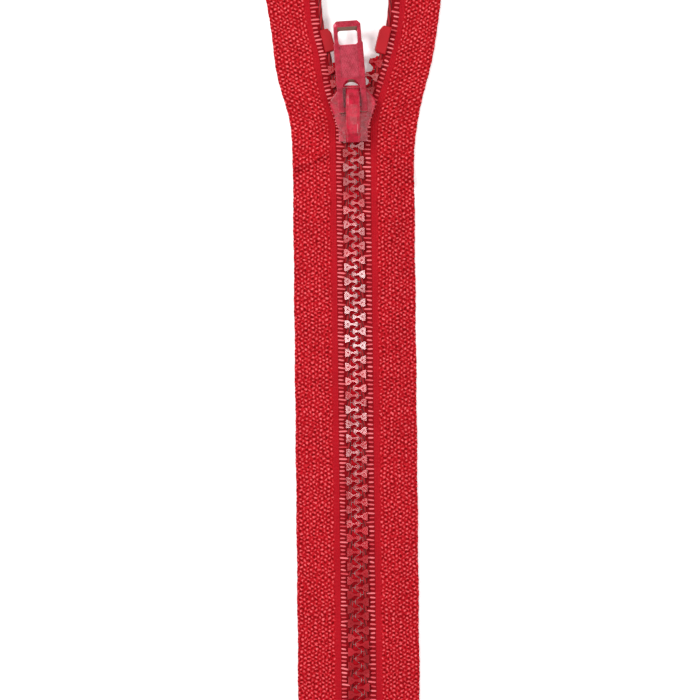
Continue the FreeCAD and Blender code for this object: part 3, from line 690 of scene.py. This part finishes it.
def steel_material():
    """Stamped spring steel with fine rolling lines."""
    m = Shader("stamped_steel")
    place = m.position()
    stretch = m.node("ShaderNodeMapping")
    stretch.inputs["Scale"].default_value = (9000.0, 500.0, 2000.0)
    m.link(place, stretch.inputs["Vector"])
    line = m.noise(stretch.outputs[0], 1.0, 2.0, 0.6)
    m.link(m.mix(line, srgb(120, 118, 114), srgb(196, 194, 190)), m.bsdf.inputs["Base Color"])
    m.link(m.math("MULTIPLY_ADD", line, 0.2, 0.24), m.bsdf.inputs["Roughness"])
    m.bump(line, 0.00002, 0.5)
    m.set(Metallic=1.0)
    return m.material


def film_material():
    """Clear laminate, cloudy where it is glued to the weave."""
    m = Shader("clear_laminate")
    place = m.position()
    cloud = m.noise(place, 300.0, 3.0, 0.6)
    weave = m.node("ShaderNodeTexVoronoi", Scale=1500.0, Randomness=0.5)
    m.link(place, weave.inputs["Vector"])
    m.link(m.mix(cloud, srgb(214, 40, 56), srgb(236, 120, 128)), m.bsdf.inputs["Base Color"])
    m.link(m.math("MULTIPLY_ADD", cloud, 0.2, 0.12), m.bsdf.inputs["Roughness"])
    m.bump(m.math("ADD", weave.outputs["Distance"], cloud), 0.00005, 0.4)
    m.set(Alpha=0.42, Specular_IOR_Level=0.7, Coat_Weight=0.5, Coat_Roughness=0.1)
    return m.material


def floor_material():
    """Near-white matt paper with the faintest mottle."""
    m = Shader("floor_paper")
    place = m.position()
    grain = m.noise(place, 60.0, 4.0, 0.6)
    m.link(m.mix(grain, (0.96, 0.96, 0.96, 1), (0.99, 0.99, 0.99, 1)), m.bsdf.inputs["Base Color"])
    m.bump(grain, 0.0002, 0.1)
    m.set(Roughness=0.9, Specular_IOR_Level=0.1)
    m.set(Emission_Color=(1, 1, 1, 1), Emission_Strength=0.22)
    return m.material


def finish(obj, material):
    """Give an object one material in every slot."""
    if not obj.data.materials:
        obj.data.materials.append(material)
    for i in range(len(obj.data.materials)):
        obj.data.materials[i] = material


# ---------------------------------------------------------------- camera, light and floor

def area_light(name, place, target, width, length, watts):
    """Area light aimed at a target, square if it has no length."""
    light = bpy.data.lights.new(name, "AREA")
    light.energy, light.size = watts, width
    if length:
        light.shape, light.size_y = "RECTANGLE", length
    obj = bpy.data.objects.new(name, light)
    obj.location = place
    obj.rotation_euler = (Vector(target) - Vector(place)).to_track_quat("-Z", "Y").to_euler()
    bpy.context.scene.collection.objects.link(obj)


def studio():
    """Camera straight above the slider, white surroundings, soft lights and the pale floor."""
    camera = bpy.data.cameras.new("camera")
    camera.sensor_width = 36
    camera.lens = camera.sensor_width * CAMERA_HEIGHT / VIEW_WIDTH
    camera.clip_start, camera.clip_end = 0.05, 20
    eye = bpy.data.objects.new("camera", camera)
    eye.location = VIEW_CENTRE + Vector((0, 0, CAMERA_HEIGHT))
    eye.rotation_euler = (0, 0, math.radians(CAMERA_TURN))
    bpy.context.scene.collection.objects.link(eye)
    bpy.context.scene.camera = eye

    world = bpy.data.worlds.new("studio")
    world.use_nodes = True
    background = world.node_tree.nodes["Background"]
    background.inputs["Color"].default_value = (1, 1, 1, 1)
    background.inputs["Strength"].default_value = WORLD_STRENGTH
    bpy.context.scene.world = world
    bpy.context.scene.view_settings.view_transform = "Standard"
    for light in LIGHTS:
        area_light(*light)

    half = FLOOR_HALF
    corners = [(-half, -half, 0), (half, -half, 0), (half, half, 0), (-half, half, 0)]
    floor = make_mesh("floor", np.array(corners) / MM, [(0, 1, 2, 3)], smooth=False)
    floor.location.z = -FLOOR_DROP
    finish(floor, floor_material())


# ---------------------------------------------------------------- assembly

def build_side(side, materials):
    """Cloth pieces of one side, in place of the imported tape, cord and stitches."""
    tape, length = tape_cloth(side)
    finish(tape, materials["tape"])
    cord = cord_cloth(side)
    finish(cord, materials["cord"])
    front, back = stitches(side, 1), stitches(side, -1)
    slots = {tape: "tape_weave", cord: "edge_cord", front: "binding_thread", back: "binding_thread"}
    for piece, slot_name in slots.items():
        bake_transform(piece)
    finish(front, materials["stitch"])
    finish(back, materials["stitch"])
    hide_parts(side + "_tape", side + "_tape_end")
    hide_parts(side + "_edge_cord")
    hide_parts(side + "_binding_stitches")


def main():
    studio()
    materials = {
        "tape": tape_material(),
        "cord": cord_material(),
        "stitch": stitch_material(),
    }
    for side in ("left", "right"):
        build_side(side, materials)

    teeth = moulded_material("teeth_acetal", srgb(142, 2, 16), srgb(180, 10, 30), 0.13, webbed=True)
    stops = moulded_material("stop_acetal", srgb(158, 2, 18), srgb(182, 6, 26), 0.5)
    ends = moulded_material("end_acetal", srgb(146, 4, 24), srgb(180, 12, 38), 0.26)
    # the third colour of each enamel is its painted edge highlight
    enamel = enamel_material("slider_enamel", srgb(152, 6, 32), srgb(196, 20, 54), srgb(250, 128, 146))
    # the pull's grey-olive slanted faces are a painted reflection
    pull = enamel_material("pull_enamel", srgb(144, 10, 36), srgb(180, 28, 56), srgb(236, 112, 132),
                           slant_reflection=True)
    inlay = enamel_material("panel_enamel", srgb(150, 16, 42), srgb(176, 34, 60), srgb(222, 100, 118),
                            edge_highlight_share=0.08, rough=0.46, coat=0.0)
    steel, film = steel_material(), film_material()
    looks = {
        "left_teeth": teeth, "right_teeth": teeth,
        "left_top_stop": stops, "right_top_stop": stops,
        "retaining_pin": ends, "insertion_pin": ends, "retainer_box": ends,
        "slider_body": enamel, "slider_crown": enamel, "pull_tab": pull,
        "lock_lever": steel, "lock_spring": steel,
        "left_front_film": film, "left_back_film": film,
        "right_front_film": film, "right_back_film": film,
    }
    for name, material in looks.items():
        finish(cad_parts[name], material)

    for name, face in (("front_pebble_panel", 1), ("back_pebble_panel", -1)):
        panel = pebble_panel(name, face)
        finish(panel, inlay)
        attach(panel, "pull_tab")


main()
